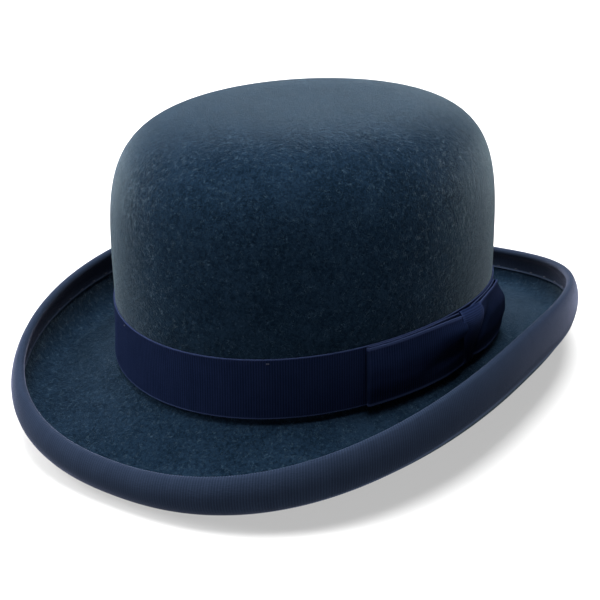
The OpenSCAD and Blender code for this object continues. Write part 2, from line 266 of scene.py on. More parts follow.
def cut_and_lay(name, shape, thickness, ribs=None):
    """A flat piece laid on its shape, joined where it meets itself, and given its thickness."""
    piece = lay_flat_piece(name, shape)
    join_ends(piece)
    give_thickness(piece, thickness)
    if ribs:
        stretch_uv(piece, ribs, 1)
    return piece


def run_length(points):
    """Length of a line of points."""
    return float(np.linalg.norm(np.diff(points, axis=0), axis=1).sum())


# %% [markdown]
# ## Node materials
# Every finish below is built from nodes. A few small helpers keep that readable: one makes a node
# and sets its inputs by name, one wires one socket into another, and the rest stand for nodes that
# come up again and again.

# %% Helpers for nodes
def new_material(name, roughness, specular):
    """A material with its main shader, whose plain values are set on the shader itself."""
    material = bpy.data.materials.new(name)
    material.use_nodes = True
    shader = material.node_tree.nodes["Principled BSDF"]
    shader.inputs["Roughness"].default_value = roughness
    shader.inputs["Specular IOR Level"].default_value = specular
    return material, shader


def set_sheen(shader, weight, roughness, tint):
    """Fine pale hairs on a surface, seen where it turns away."""
    shader.inputs["Sheen Weight"].default_value = weight
    shader.inputs["Sheen Roughness"].default_value = roughness
    shader.inputs["Sheen Tint"].default_value = (*tint, 1)


def add(material, kind, operation=None, **inputs):
    """A node of a kind, with its inputs given by name: a number, a vector, or another node's socket."""
    node = material.node_tree.nodes.new("ShaderNode" + kind)
    if operation:
        node.operation = operation
    for name, value in inputs.items():
        socket = node.inputs[int(name[1:])] if name[1:].isdigit() else node.inputs[name.replace("_", " ")]
        wire(material, value, socket)
    return node


def wire(material, value, socket):
    """Links another node's socket to this one, or sets this one to a plain value."""
    if isinstance(value, bpy.types.NodeSocket):
        material.node_tree.links.new(value, socket)
    else:
        socket.default_value = value


def math_node(material, operation, first, second=0.0):
    return add(material, "Math", operation, i0=first, i1=second).outputs[0]


def weighted_sum(material, *terms):
    """Adds up sockets, each given with its weight."""
    total = None
    for value, weight in terms:
        part = value if weight == 1 else math_node(material, "MULTIPLY", value, weight)
        total = part if total is None else math_node(material, "ADD", total, part)
    return total


def blend_colours(material, share, first, second):
    """A mix of two colours by a share from 0 to 1."""
    mix = material.node_tree.nodes.new("ShaderNodeMix")
    mix.data_type = "RGBA"
    wire(material, share, mix.inputs[0])
    wire(material, first if not isinstance(first, tuple) else (*first, 1), mix.inputs[6])
    wire(material, second if not isinstance(second, tuple) else (*second, 1), mix.inputs[7])
    return mix.outputs[2]


def lay_over(material, tone, share, strength, colour):
    """Another colour laid over a tone, by a share that counts up to a strength."""
    return blend_colours(material, math_node(material, "MULTIPLY", share, strength), tone, colour)


def fade(material, value, low, high):
    """0 up to low, 1 from high, smooth between."""
    node = add(material, "MapRange", i0=value, i1=low, i2=high)
    node.interpolation_type = "SMOOTHSTEP"
    return node.outputs[0]


def noise(material, where, scale, detail=3.0, roughness=0.55, distortion=0.0):
    node = add(material, "TexNoise", Vector=where, Scale=scale, Detail=detail, Roughness=roughness,
               Distortion=distortion)
    return node.outputs[0]


def set_bump(material, shader, height, distance, strength):
    """Raises the surface by a height from nodes, distance metres for a height of 1."""
    node = add(material, "Bump", Height=height, Distance=distance, Strength=strength)
    wire(material, node.outputs[0], shader.inputs["Normal"])


def tell(*materials):
    """Prints how large each finish is."""
    for material in materials:
        print(material.name, "is made of", len(material.node_tree.nodes), "nodes")


# %% [markdown]
# ## Fur felt
# Felt has no weave. It is a mat of short hairs, so its colour is mottled at several sizes: cloudy
# patches where the dye took unevenly, specks a millimetre or so across where tufts of nap lie
# together, and single hairs. The nap stands up a little, and at a grazing angle it catches the
# light: that is the sheen, which is what tells felt from painted plastic. Hair strands could be
# grown instead, but nap this short looks the same from the shader and is far lighter.

# %% Felt material
felt_dark = (0.0014, 0.0038, 0.0078)
felt_light = (0.0050, 0.0112, 0.0208)
speck_colour = (0.024, 0.042, 0.062)
hair_colour = (0.026, 0.046, 0.066)
nap_colour = (0.66, 0.82, 0.91)
felt_finish, felt_shader = new_material("fur_felt", 0.95, 0.0)
set_sheen(felt_shader, 0.205, 0.265, nap_colour)
where = add(felt_finish, "TexCoord").outputs["Object"]
patches = noise(felt_finish, where, 60, 4.0, 0.6, 0.4)
tufts = noise(felt_finish, where, 700, 4.0, 0.65, 0.8)
specks = noise(felt_finish, where, 1500, 3.0, 0.6, 1.5)
mottle = fade(felt_finish, weighted_sum(felt_finish, (patches, 0.25), (tufts, 0.75)), 0.34, 0.68)
tone = blend_colours(felt_finish, mottle, felt_dark, felt_light)
tone = lay_over(felt_finish, tone, fade(felt_finish, specks, 0.58, 0.76), 0.5, speck_colour)
strands = noise(felt_finish, where, 330, 1.0, 0.5, 3.0)
off_strand = math_node(felt_finish, "ABSOLUTE", math_node(felt_finish, "SUBTRACT", strands, 0.5))
stray = fade(felt_finish, noise(felt_finish, where, 420, 2.0, 0.5), 0.50, 0.64)
hairs = math_node(felt_finish, "MULTIPLY", stray, fade(felt_finish, off_strand, 0.035, 0.0))
tone = lay_over(felt_finish, tone, hairs, 0.5, hair_colour)
wire(felt_finish, tone, felt_shader.inputs["Base Color"])
nap = weighted_sum(felt_finish, (tufts, 1), (specks, 0.7), (hairs, 0.25))
set_bump(felt_finish, felt_shader, nap, 0.7 * MM, 0.55)
tell(felt_finish)

# %% [markdown]
# ## Felt hood: the crown and brim
# A hatter pulls a cone of loose felt, the hood, over a wooden block, steams it down and curls the
# brim over a rope and a hot iron. Here the hood is a grid: its rows run from the middle of the
# crown's top out to the brim's edge, and its columns run round the hat. The row at the top closes
# to a pole, the last column is sewn to the first, and Solidify gives the felt its thickness.

# %% Hood
hood_turns = np.linspace(0, full_turn, 257)
hood_shape = np.array([place(a, np.vstack([beside(crown_line(a), -felt_t / 2), brim_line(a)]))
                       for a in hood_turns])
hood = cut_and_lay("felt_hood", hood_shape, felt_t)
finish_piece(hood, ["felt_body"], felt_finish, 180)


# %% [markdown]
# ## Grosgrain
# Grosgrain is a ribbon with a rib across its width about every millimetre: a thick weft is
# covered by fine, closely set warp threads. Its colour is lighter on each rib and darker in the
# groove between ribs, as painted light and painted shade. Each edge is a selvage, where the weft
# turns back, so its outline is slightly toothed; the edges are painted paler, partly as the
# selvage's own tone and partly as a painted highlight where the edge catches the light. Nodes are
# used and not an image, so that it stays sharp close up. The UV map counts ribs along the ribbon,
# and is 0 to 1 across it.

# %% Grosgrain material
def grosgrain(name, dark, light, width, sheen, sheen_tint, selvage_and_highlight_share=0.75):
    """A ribbon finish; width is in metres, for the scale of the fine threads."""
    thread_pitch, plain_pitch = 0.3 * MM, 1 * MM
    selvage_wide, selvage_full = 1.6 * MM, 0.6 * MM
    material, shader = new_material(name, 0.65, 0.005)
    set_sheen(shader, sheen, 0.3, sheen_tint)
    split = add(material, "SeparateXYZ", Vector=add(material, "TexCoord").outputs["UV"])
    along, across = split.outputs[0], split.outputs[1]
    # The colour follows the ribs: lighter on each rib and darker in each groove, as painted light and shade.
    rib_light_and_shade = math_node(material, "COSINE", math_node(material, "MULTIPLY", along, full_turn))
    rib = math_node(material, "MULTIPLY", math_node(material, "ADD", rib_light_and_shade, 1.0), 0.5)
    ends = add(material, "CombineXYZ", X=math_node(material, "MULTIPLY", along, 0.6),
               Y=math_node(material, "MULTIPLY", across, width / thread_pitch))
    warp = noise(material, ends.outputs[0], 1.0, 2.0, 0.5)
    plain = add(material, "CombineXYZ", X=along,
                Y=math_node(material, "MULTIPLY", across, width / plain_pitch))
    streaks = add(material, "CombineXYZ", X=math_node(material, "MULTIPLY", along, 0.9),
                  Y=math_node(material, "MULTIPLY", across, 2.5))
    uneven = noise(material, streaks.outputs[0], 1.0, 3.0, 0.6)
    wear = noise(material, plain.outputs[0], 0.09, 4.0, 0.55)
    fleck = noise(material, plain.outputs[0], 2.3, 3.0, 0.6)
    shade = weighted_sum(material, (rib, 0.45), (uneven, 0.40), (wear, 0.35), (fleck, 0.18))
    tone = blend_colours(material, fade(material, shade, 0.38, 1.02), dark, light)
    # Both edges are painted paler: partly the selvage's own tone, partly a painted highlight for the light
    # the edge catches.
    off_middle = math_node(material, "ABSOLUTE", math_node(material, "SUBTRACT", across, 0.5))
    selvage_and_edge_highlight = fade(material, off_middle, 0.5 - selvage_wide / width, 0.5 - selvage_full / width)
    pale = tuple(c * 2.6 + 0.008 for c in light)
    tone = lay_over(material, tone, selvage_and_edge_highlight, selvage_and_highlight_share, pale)
    wire(material, tone, shader.inputs["Base Color"])
    set_bump(material, shader, weighted_sum(material, (warp, 1), (fleck, 0.7)), 0.12 * MM, 0.9)
    return material


band_dark, band_light = (0.0015, 0.0034, 0.0112), (0.0046, 0.0080, 0.0236)
edge_dark, edge_light = (0.0050, 0.0082, 0.0160), (0.0096, 0.0148, 0.0270)
edge_w = 35 * MM
band_finish = grosgrain("grosgrain", band_dark, band_light, band_w, 0.006, (0.32, 0.42, 0.90))
edge_finish = grosgrain("edge_grosgrain", edge_dark, edge_light, edge_w, 0.16, (0.645, 0.70, 1.0))
tell(band_finish, edge_finish)


# %% [markdown]
# ## Band
# The band is one length of ribbon drawn tight round the foot of the crown. Its upper edge grips
# the felt and its lower edge stands off a little, over the bend where the brim starts. The ribs
# are modelled as well as drawn, with three or four columns of points to a rib, so that they show
# on the outline and the edges are toothed as a real selvage is.

# %% Where the band lies
rib_pitch = 1.05 * MM
rib_high = 0.06 * MM
tooth = 0.10 * MM


def on_band(a, f, d):
    """A point at angle a, at share f of the band's height, at distance d off the band's back."""
    z = band_z(a) + f * band_w
    r = crown_r(a, z) + clear + band_flare * (1 - f) ** 2 + d
    return np.stack([r * np.sin(a), crown_y - r * np.cos(a), z], axis=-1)


def toothed(f, phase):
    """Pushes only the outermost rows of a ribbon in and out, rib by rib."""
    outer_rows = 0.06
    edge = np.clip((np.abs(f - 0.5) - (0.5 - outer_rows)) / outer_rows, 0, 1)
    return f + np.sign(f - 0.5) * edge * tooth / band_w * np.cos(phase)


# %% Band ribbon
band_columns = 2048
band_join = math.radians(88)  # under the bow, where a hatter hides it
band_turns = np.linspace(0, full_turn, band_columns + 1) + band_join
foot_line = on_band(band_turns, 0.5, 0)
band_length = run_length(foot_line)
band_ribs = round(band_length / rib_pitch)
band_phase = np.linspace(0, full_turn * band_ribs, band_columns + 1)[:, None]
shares = np.array([0, 0.04, 0.12, 0.28, 0.46, 0.64, 0.8, 0.9, 0.96, 1.0])[None, :]
band_off = ribbon_t / 2 + rib_high * np.cos(band_phase) + 0 * shares
band_shape = on_band(band_turns[:, None], toothed(shares, band_phase), band_off)
band = cut_and_lay("band_ribbon", band_shape, ribbon_t, band_ribs)
finish_piece(band, ["hat_band"], band_finish)
print("band ribbon:", round(band_length, 4), "m,", band_ribs, "ribs")


# %% [markdown]
# ## Bow
# The flat bow on a bowler is not tied. Each half is a short length of the same ribbon, folded
# back on itself and laid on the band, and a third length wraps over the middle as the knot. The
# knot pulls the halves in, so each half has a pleat that runs out from it and dies away. A cloth
# simulation would not find folds that were pressed with an iron, so a rule bends the strip.

# %% Sizes of the bow
bow_mid = math.radians(86)
bow_front_end = math.radians(47.5)
bow_rear_end = math.radians(118)
knot_w = 13 * MM
knot_a = knot_w / 2 / crown_half_w
print("the knot covers", round(math.degrees(2 * knot_a), 1), "degrees of the band")


# %% One folded half
def ease(share):
    """0 to 1 with a soft start and end."""
    share = np.clip(share, 0, 1)
    return share * share * (3 - 2 * share)


def ridge(f, middle, width):
    """A fold that runs along the ribbon at share middle of its height."""
    return np.exp(-((f - middle) / width) ** 2)


def folded_half(name, start, end, rise, top_end, bell, pleat, pleat_far, slant):
    """Ribbon from the knot out to its fold and back, with a pleat beside the knot.

    rise is how far the outer layer bulges, top_end the share of the band's height that it reaches,
    bell how much the bulge keeps to the fold, pleat the height of the pleat, pleat_far the share of
    the band's height where its groove ends, and slant how far the fold leans round the hat.
    """
    length = 2 * abs(end - start) * (crown_half_w + 4 * MM)
    ribs = round(length / rib_pitch)
    leg = np.linspace(0, 1, 120)
    turn = np.linspace(0, math.pi, 26)[1:-1]
    lift = ribbon_t * 1.5 + clear
    run = np.concatenate([leg, 1 + 0.012 * np.sin(turn), leg[::-1]])[:, None]
    outer = np.concatenate([0 * leg, (1 - np.cos(turn)) / 2, 1 + 0 * leg])[:, None]
    phase = np.linspace(0, full_turn * ribs, len(run))[:, None]
    f = np.linspace(0, 1, 29)[None, :]
    away = np.clip(run, 0, 1)
    near = ease(1 - away / 0.62)
    open_out = np.clip(run / 0.3, 0, 1) ** 0.7
    low, high = 0.07 - 0.06 * open_out, 0.93 + (top_end - 0.93) * open_out
    share = low + (high - low) * toothed(f, phase)
    to_fold = 1 - bell + bell * away ** 1.3
    to_top = 1 - (0.55 + 0.3 * bell) * ease((f - 0.55) / 0.45)
    body = rise * (0.6 + 0.4 * ease(f / 0.35)) * to_fold * to_top
    fold = near * pleat * (0.35 * ease(f / 0.5) + 0.65 * ridge(f, 0.76, 0.16)
                           - ridge(f, pleat_far + (0.46 - pleat_far) * near, 0.13))
    stand = 0.7 * MM + ease(away / 0.10) * (body + fold)
    angles = start + (end - slant * (f - 0.35) - start) * run
    off = lift + outer * stand + rib_high * np.cos(phase)
    return cut_and_lay(name, on_band(angles, share, off), ribbon_t, ribs), length


front_half, front_length = folded_half("bow_front_half", bow_mid - knot_a * 0.4, bow_front_end,
                                       2.0 * MM, 0.99, 0.0, 3.4 * MM, 0.28, 0.0)
finish_piece(front_half, ["bow_front_loop"], band_finish)
rear_half, rear_length = folded_half("bow_rear_half", bow_mid + knot_a * 0.3, bow_rear_end,
                                     4.6 * MM, 0.97, 0.75, 2.6 * MM, 0.85, math.radians(8))
finish_piece(rear_half, ["bow_rear_loop"], band_finish)
print("bow halves:", round(front_length, 4), "and", round(rear_length, 4), "m")

# %% Knot
# knot_f runs up the knot as a share of the band's height, and knot_e runs over it from side to side.
# The knot bulges, is drawn in and creased at its foot, and is rounded off toward its sides.
knot_ribs = 30
knot_top = 0.99
knot_f = np.linspace(0.0, knot_top, 4 * knot_ribs + 1)[:, None]
knot_e = np.linspace(-1, 1, 25)[None, :]
bulge = 1.5 * MM + 4.6 * MM * np.sin(math.pi * np.clip(knot_f, 0, 1) ** 2.1) ** 0.6
knot_wide = knot_a * (0.62 + 0.83 * ease((knot_f - 0.1) / 0.8))
creases = 0.22 * MM * np.cos(knot_e * 7.5 + 0.6) * (1 - ease(knot_f / 0.6))
rounded = -1.3 * MM * np.abs(knot_e) ** 3 * np.sin(math.pi * np.clip(knot_f, 0, 1))
knot_ridges = 1.3 * rib_high * np.cos(full_turn * knot_ribs * knot_f / knot_top)
knot_shape = on_band(bow_mid + knot_e * knot_wide, knot_f - 0.03 * knot_e * knot_f,
                     bulge + creases + rounded + knot_ridges + 0 * knot_e)
knot = cut_and_lay("bow_knot_wrap", knot_shape, ribbon_t, knot_ribs)
# The knot's colours are the band's ribbon made lighter: painted light, for the light its bulge catches.
lit_knot_dark = tuple(c * 1.3 for c in band_dark)
lit_knot_light = tuple(c * 1.6 for c in band_light)
lit_knot_finish = grosgrain("lit_knot_grosgrain", lit_knot_dark, lit_knot_light, knot_w, 0.04, (0.50, 0.54, 0.90), 0.15)
finish_piece(knot, ["bow_knot"], lit_knot_finish)

# %% [markdown]
# ## Edge ribbon
# The edge of the brim is bound: a ribbon is folded over it, and is sewn down near its inner edge.
# Its section follows the felt: up the outside of the curl, over the edge, and down inside. A
# bevelled curve would be quicker, but would not have ribs that stay square to the edge.

# %% Binding
bind_in, bind_out = 12 * MM, 17 * MM
rim = np.array([place(a, brim_line(a)[-1:])[0] for a in np.linspace(0, full_turn, 361)])
bind_length = run_length(rim)
bind_ribs = round(bind_length / rib_pitch)
bind_turns = np.linspace(0, full_turn, 2 * bind_ribs + 1)
tiny = 1e-9


def binding_line(a, lift=0.0):
    """Middle of the edge ribbon's section, from its inner edge over the brim's edge to its outer."""
    mid = brim_line(a)
    off = felt_t / 2 + bind_gap + ribbon_t / 2 + lift
    inside = beside(evenly(mid, -bind_in, -tiny, 9), off)
    outside = beside(evenly(mid, -bind_out, -tiny, 9), -off)[::-1]
    end, along = mid[-1], (mid[-1] - mid[-2]) / np.linalg.norm(mid[-1] - mid[-2])
    across = np.array([-along[1], along[0]])
    b = np.linspace(math.pi / 2, -math.pi / 2, 7)[1:-1, None]
    return np.vstack([inside, end + off * (np.sin(b) * across + np.cos(b) * along), outside])


bind_shape = []
for i, a in enumerate(bind_turns):
    lift = rib_high if i % 2 else -rib_high
    bind_shape.append(place(a, binding_line(a, lift)))
bind_shape = np.array(bind_shape)
bind_shape[-1] = bind_shape[0]
binding = cut_and_lay("edge_binding", bind_shape, ribbon_t, bind_ribs)
finish_piece(binding, ["brim_binding"], edge_finish)

# %% [markdown]
# ## Stitches
# A hand stitch is a short length of thread that comes up out of the cloth and goes back in. It is
# modelled once, with its ends bent down, and copied along each seam, because stitches are alike.

# %% Thread material
def thread(name, dark, light):
    """Sewing thread, with a grain as fine as its plies."""
    material, shader = new_material(name, 0.6, 0.3)
    set_sheen(shader, 0.3, 0.4, light)
    spot = add(material, "TexCoord").outputs["Object"]
    ply = noise(material, spot, 3500, 2.0, 0.6, 1.0)
    tone = blend_colours(material, fade(material, ply, 0.35, 0.65), dark, light)
    wire(material, tone, shader.inputs["Base Color"])
    set_bump(material, shader, ply, 0.1 * MM, 0.8)
    return material


dark_thread = thread("dark_thread", (0.004, 0.006, 0.014), (0.014, 0.018, 0.036))
pale_thread = thread("pale_thread", (0.30, 0.22, 0.12), (0.62, 0.50, 0.32))
thread_d = 0.5 * MM
tell(dark_thread, pale_thread)


# %% One stitch, and copies of it along a seam
def model_stitch(length):
    """A thread lying along X with both ends bent down, one stitch long."""
    bend = 0.35
    select_only()
    bpy.ops.mesh.primitive_cylinder_add(vertices=8, radius=thread_d / 2, depth=length,
                                        rotation=(0, math.pi / 2, 0))
    stitch = bpy.context.object
    bpy.ops.object.transform_apply(location=True, rotation=True, scale=True)
    bpy.ops.object.mode_set(mode="EDIT")
    for cut in (0.3, -0.3, 0):
        bpy.ops.mesh.select_all(action="SELECT")
        bpy.ops.mesh.bisect(plane_co=(length * cut, 0, 0), plane_no=(1, 0, 0))
    bpy.ops.object.mode_set(mode="OBJECT")
    for vertex in stitch.data.vertices:
        share = min(1, abs(vertex.co.x) / (length / 2))
        vertex.co.z -= bend * MM * share ** 4
        vertex.co.y *= 1 - bend * share ** 4
    return stitch


def sew(name, stitch, spots):
    """Copies the stitch to each spot, given as a point, the way ahead and the way out."""
    copies = []
    for point, ahead, out in spots:
        along = Vector(ahead).normalized()
        outward = (Vector(out) - Vector(out).dot(along) * along).normalized()
        turn = Matrix((along, outward.cross(along), outward)).transposed().to_4x4()
        copy = bpy.data.objects.new(name, stitch.data.copy())
        copy.data.transform(Matrix.Translation(Vector(point)) @ turn)
        bpy.context.collection.objects.link(copy)
        copies.append(copy)
    select_only(*copies)
    bpy.ops.object.join()
    seam = bpy.context.object
    seam.name = seam.data.name = name
    bpy.data.objects.remove(stitch)
    return seam


def spots_on(surface, angles, tilt=0.0):
    """Stitch places on a surface(angle): the point, the way round the hat, and the way off the hat."""
    step = 0.01
    spots = []
    for a in angles:
        point, ahead = surface(a), surface(a + step)
        way = (ahead - point) / np.linalg.norm(ahead - point)
        out = np.array([math.sin(a), -math.cos(a), 0.0])
        spots.append((point, way + tilt * np.array([0, 0, 1.0]), out))
    return spots


# %% Stitches of the binding, and tacks of the band and bow
def binding_seam(a):
    """Where the needle goes, just inside the inner edge of the ribbon."""
    line = beside(evenly(brim_line(a), -(bind_in - 1.5 * MM), -tiny, 12), edge_r + 0.12 * MM)
    return place(a, line[:1])[0]


bind_stitches = 72
bind_spots = []
for point, ahead, out in spots_on(binding_seam, np.arange(bind_stitches) * full_turn / bind_stitches):
    bind_spots.append((point, ahead, -out * 0.4 + np.array([0, 0, 0.9])))
binding_seam_thread = sew("binding_seam_thread", model_stitch(2.4 * MM), bind_spots)
finish_piece(binding_seam_thread, ["binding_stitches"], dark_thread)
fold_spots = []
tack_off = 2 * ribbon_t + clear + thread_d / 2 + 0.1 * MM
for a in (bow_front_end + math.radians(2), bow_rear_end - math.radians(2)):
    for f in (0.15, 0.85):
        fold_spots += spots_on(lambda b: on_band(b, f, tack_off), [a])
bow_thread = sew("bow_tack_thread", model_stitch(1.6 * MM), fold_spots)
finish_piece(bow_thread, ["bow_tacks"], dark_thread)
tack_turns = [math.radians(22.5 + 45 * i) for i in (0, 3, 4, 5, 6, 7)]
band_thread = sew("band_tack_thread", model_stitch(1.5 * MM),
                  spots_on(lambda b: on_band(b, 0.93, ribbon_t + 0.12 * MM), tack_turns))
finish_piece(band_thread, ["band_tacks"], dark_thread)

# %% [markdown]
# ## Sweatband
# The sweatband is a strip of soft leather that takes up the wearer's sweat and sets the size. Its
# lower edge is sewn to a tape that holds a thin reed, which keeps the edge round. Its ends meet at
# the back, where a zigzag of thread draws them together under a small flat bow. Leather and tape
# are strips like the ribbon, so they are laid in the same way, and the reed is a tube.

# %% Leather material
def leather(name, dark, light):
    """Soft leather: dark pits in a cellular grain, fine pores and uneven dye."""
    material, shader = new_material(name, 0.48, 0.4)
    spot = add(material, "TexCoord").outputs["Object"]
    grain = add(material, "TexVoronoi", Vector=spot, Scale=1100.0).outputs[0]
    stain = noise(material, spot, 45, 4.0, 0.6, 0.5)
    pores = noise(material, spot, 2600, 2.0, 0.5)
    tone = blend_colours(material, fade(material, stain, 0.32, 0.68), dark, light)
    pit_colour = tuple(c * 0.55 for c in dark)
    tone = lay_over(material, tone, fade(material, grain, 0.5, 0.9), 0.4, pit_colour)
    wire(material, tone, shader.inputs["Base Color"])
    rough = math_node(material, "ADD", 0.38, math_node(material, "MULTIPLY", stain, 0.22))
    wire(material, rough, shader.inputs["Roughness"])
    height = math_node(material, "SUBTRACT", math_node(material, "MULTIPLY", pores, 0.3), grain)
    set_bump(material, shader, height, 0.2 * MM, 0.5)
    return material


leather_finish = leather("leather", (0.060, 0.026, 0.012), (0.125, 0.058, 0.026))
trim_finish = leather("leather_trim", (0.030, 0.014, 0.008), (0.060, 0.028, 0.015))
tell(leather_finish, trim_finish)

# %% Sweatband, its tape and its reed
sweat_h = 38 * MM
sweat_t = 1.1 * MM
sweat_foot = 1.4 * MM  # the gap to the felt at the foot
sweat_lean = 0.8 * MM  # how much more the gap is at the top
reed_d = 1.8 * MM
reed_drop = 2 * MM  # the reed's underside, under the band's lower edge
tape_t = 0.35 * MM
tape_h = 8 * MM


def leather_back(a, h):
    """Radius and height of the felt side of the leather, at height h over the reed's underside."""
    z = band_z(a) - reed_drop + h
    return crown_r(a, z) - felt_t - sweat_foot - sweat_lean * h / sweat_h, z


def on_sweatband(a, h, off=0.0):
    """A point at height h over the reed's underside, at distance off from the back of the leather."""
    r, z = leather_back(a, h)
    r = r - off
    return np.stack([r * np.sin(a), crown_y - r * np.cos(a), z], axis=-1)


inside_turns = (np.linspace(0, full_turn, 361) + math.pi)[:, None]
leather_rows = np.linspace(reed_d + 0.5 * MM, sweat_h + 0.5 * MM, 25)[None, :]
leather_waves = 0.12 * MM * np.sin(inside_turns * 14) * (leather_rows / sweat_h)
sweat_shape = on_sweatband(inside_turns, leather_rows, sweat_t / 2 + leather_waves)
sweatband = cut_and_lay("leather_sweatband", sweat_shape, sweat_t)
finish_piece(sweatband, ["sweatband"], leather_finish)


# %% A tube round the hat, for the reed and the piping
def ring_tube(name, centre, radius):
    """A grid whose rows go round a small circle: a tube that follows centre(angle)."""
    turns = np.linspace(0, full_turn, 361)
    b = np.linspace(0, full_turn, 13)
    rows = []
    for a in turns:
        r, z = centre(a)
        rows.append(place(a, np.stack([r + radius * np.cos(b), z + radius * np.sin(b)], axis=1)))
    tube = lay_flat_piece(name, np.array(rows))
    join_ends(tube)
    return tube


def reed_centre(a):
    return (crown_r(a, band_z(a)) - felt_t - sweat_foot - sweat_t / 2, band_z(a) - reed_drop + reed_d / 2)


def tape_line(a):
    """Round the reed and up behind the leather."""
    r, z = reed_centre(a)
    wrap = reed_d / 2 + clear + tape_t / 2
    b = -np.linspace(0, math.pi, 13)
    up = []
    for h in np.linspace(tape_h, 2.4 * MM, 8):
        back_r, height = leather_back(a, h)
        up.append([back_r + 0.45 * MM, height])
    return np.vstack([up, np.stack([r + wrap * np.cos(b), z + wrap * np.sin(b)], axis=1)])


# %% Cotton and cane
def woven(name, dark, light, pitch, roughness=0.8):
    """Fine fibres, pitch metres apart, and uneven dye."""
    material, shader = new_material(name, roughness, 0.25)
    set_sheen(shader, 0.2, 0.4, light)
    spot = add(material, "TexCoord").outputs["Object"]
    slubs = noise(material, spot, 0.35 / pitch, 3.0, 0.6)
    threads = noise(material, spot, 1.0 / pitch, 2.0, 0.6, 0.6)
    tone = blend_colours(material, fade(material, slubs, 0.3, 0.7), dark, light)
    wire(material, tone, shader.inputs["Base Color"])
    set_bump(material, shader, threads, pitch * 0.25, 0.8)
    return material


reed_finish = woven("reed", (0.42, 0.34, 0.20), (0.62, 0.54, 0.38), 1.2 * MM, 0.5)
tape_finish = woven("cotton_tape", (0.006, 0.007, 0.010), (0.022, 0.024, 0.032), 0.4 * MM)
tell(reed_finish, tape_finish)
reed = ring_tube("cane_reed", reed_centre, reed_d / 2)
finish_piece(reed, ["sweatband_reed"], reed_finish)
tape_shape = np.array([place(a, tape_line(a)) for a in np.linspace(0, full_turn, 361)])
tape = cut_and_lay("reed_tape_fold", tape_shape, tape_t)
finish_piece(tape, ["reed_tape"], tape_finish)

# %% Stitches and bow of the sweatband
leather_off = sweat_t + 0.12 * MM
leather_stitches = 48
seam_turns = (np.arange(leather_stitches) + 0.5) * full_turn / leather_stitches
lower_seam = []
for point, ahead, out in spots_on(lambda b: on_sweatband(b, 4.5 * MM, leather_off), seam_turns):
    lower_seam.append((point, ahead, -out))
leather_thread = sew("sweatband_thread", model_stitch(2.6 * MM), lower_seam)
finish_piece(leather_thread, ["sweatband_stitches"], pale_thread)
zigzag = []
zigzag_slope = 0.577  # 30 degrees up, then 30 degrees down
for i in range(9):
    height = (14 + 2.8 * i) * MM
    slope = zigzag_slope if i % 2 else -zigzag_slope
    for point, ahead, out in spots_on(lambda b: on_sweatband(b, height, leather_off), [math.pi], slope):
        zigzag.append((point, ahead, -out))
back_thread = sew("sweatband_seam_thread", model_stitch(4 * MM), zigzag)
finish_piece(back_thread, ["sweatband_seam_stitches"], pale_thread)

# The bow lies flat: narrow and creased at its little knot, and wide at both ends.
bow_low, bow_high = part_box("sweatband_bow")
bow_u = np.linspace(-1, 1, 65)[:, None]
bow_v = np.linspace(-1, 1, 13)[None, :]
bow_half = (bow_high.x - bow_low.x) / 2
bow_waist = 0.42
bow_spread = np.clip(np.abs(bow_u) / 0.75, 0, 1) ** 1.5
bow_tall = (bow_high.z - bow_low.z) / 2 * (bow_waist + (1 - bow_waist) * bow_spread)
little_knot = 0.35 * MM * np.exp(-(bow_u / 0.14) ** 2)
little_creases = 0.22 * MM * np.cos(bow_v * 9) * np.exp(-(bow_u / 0.4) ** 2)
bow_centre_z = (bow_low.z + bow_high.z) / 2
bow_centre_y = (bow_low.y + bow_high.y) / 2
inner_bow_shape = np.stack([bow_u * bow_half + 0 * bow_v,
                            bow_centre_y - little_knot - little_creases,
                            bow_centre_z + bow_v * bow_tall], axis=-1)
inner_bow = lay_flat_piece("sweatband_flat_bow", inner_bow_shape)
give_thickness(inner_bow, 0.6 * MM)
join_ends(inner_bow)
finish_piece(inner_bow, ["sweatband_bow"], trim_finish)


# %% [markdown]
# ## Lining
# The satin lining is a side that is gathered to an oval tip, with a piping over the join. Satin
# shows long glossy floats of thread one way, so its highlight is stretched: that is what the
# anisotropic setting does. The pleats are waves in the grid. A clear film guards the tip.

# %% Satin material
def satin_finish_for(name, dark, light):
    """Satin with fine floats and a cloudy dye."""
    material, shader = new_material(name, 0.34, 0.5)
    set_sheen(shader, 0.25, 0.3, light)
    shader.inputs["Anisotropic"].default_value = 0.5
    spot = add(material, "TexCoord").outputs["Object"]
    cloud = noise(material, spot, 30, 3.0, 0.5)
    floats = noise(material, spot, 1800, 2.0, 0.5, 0.3)
    tone = blend_colours(material, fade(material, cloud, 0.3, 0.7), dark, light)
    wire(material, tone, shader.inputs["Base Color"])
    set_bump(material, shader, floats, 0.06 * MM, 0.5)
    return material


satin_finish = satin_finish_for("satin", (0.010, 0.011, 0.018), (0.030, 0.032, 0.046))
piping_finish = satin_finish_for("satin_piping", (0.040, 0.042, 0.055), (0.090, 0.094, 0.115))
tell(satin_finish, piping_finish)

# %% Lining side, tip and piping
satin_t = 0.5 * MM
lining_gap = 1.2 * MM
pleats_round = 72


def dome_line(a, us):
    """Outside of the crown; each of us is an angle up its section, from 0 at the foot to the top."""
    t = np.sin(us) ** (2 / dome_rise)
    z = base_z + crown_h * t
    return np.stack([crown_r(a, z), z], axis=1)


def lining_line(a, us, low=None, pleats=0.0):
    """The lining's section, on down the wall as far as low, with pleats of that depth."""
    line = dome_line(a, us)
    if low:
        z = np.linspace(line[-1, 1], base_z + low, 18)[1:]
        line = np.vstack([line, np.stack([crown_r(a, z), z], axis=1)])
    pleat = pleats * (0.5 + 0.5 * math.cos(pleats_round * a))
    return beside(line, -felt_t - lining_gap - satin_t / 2 - pleat)


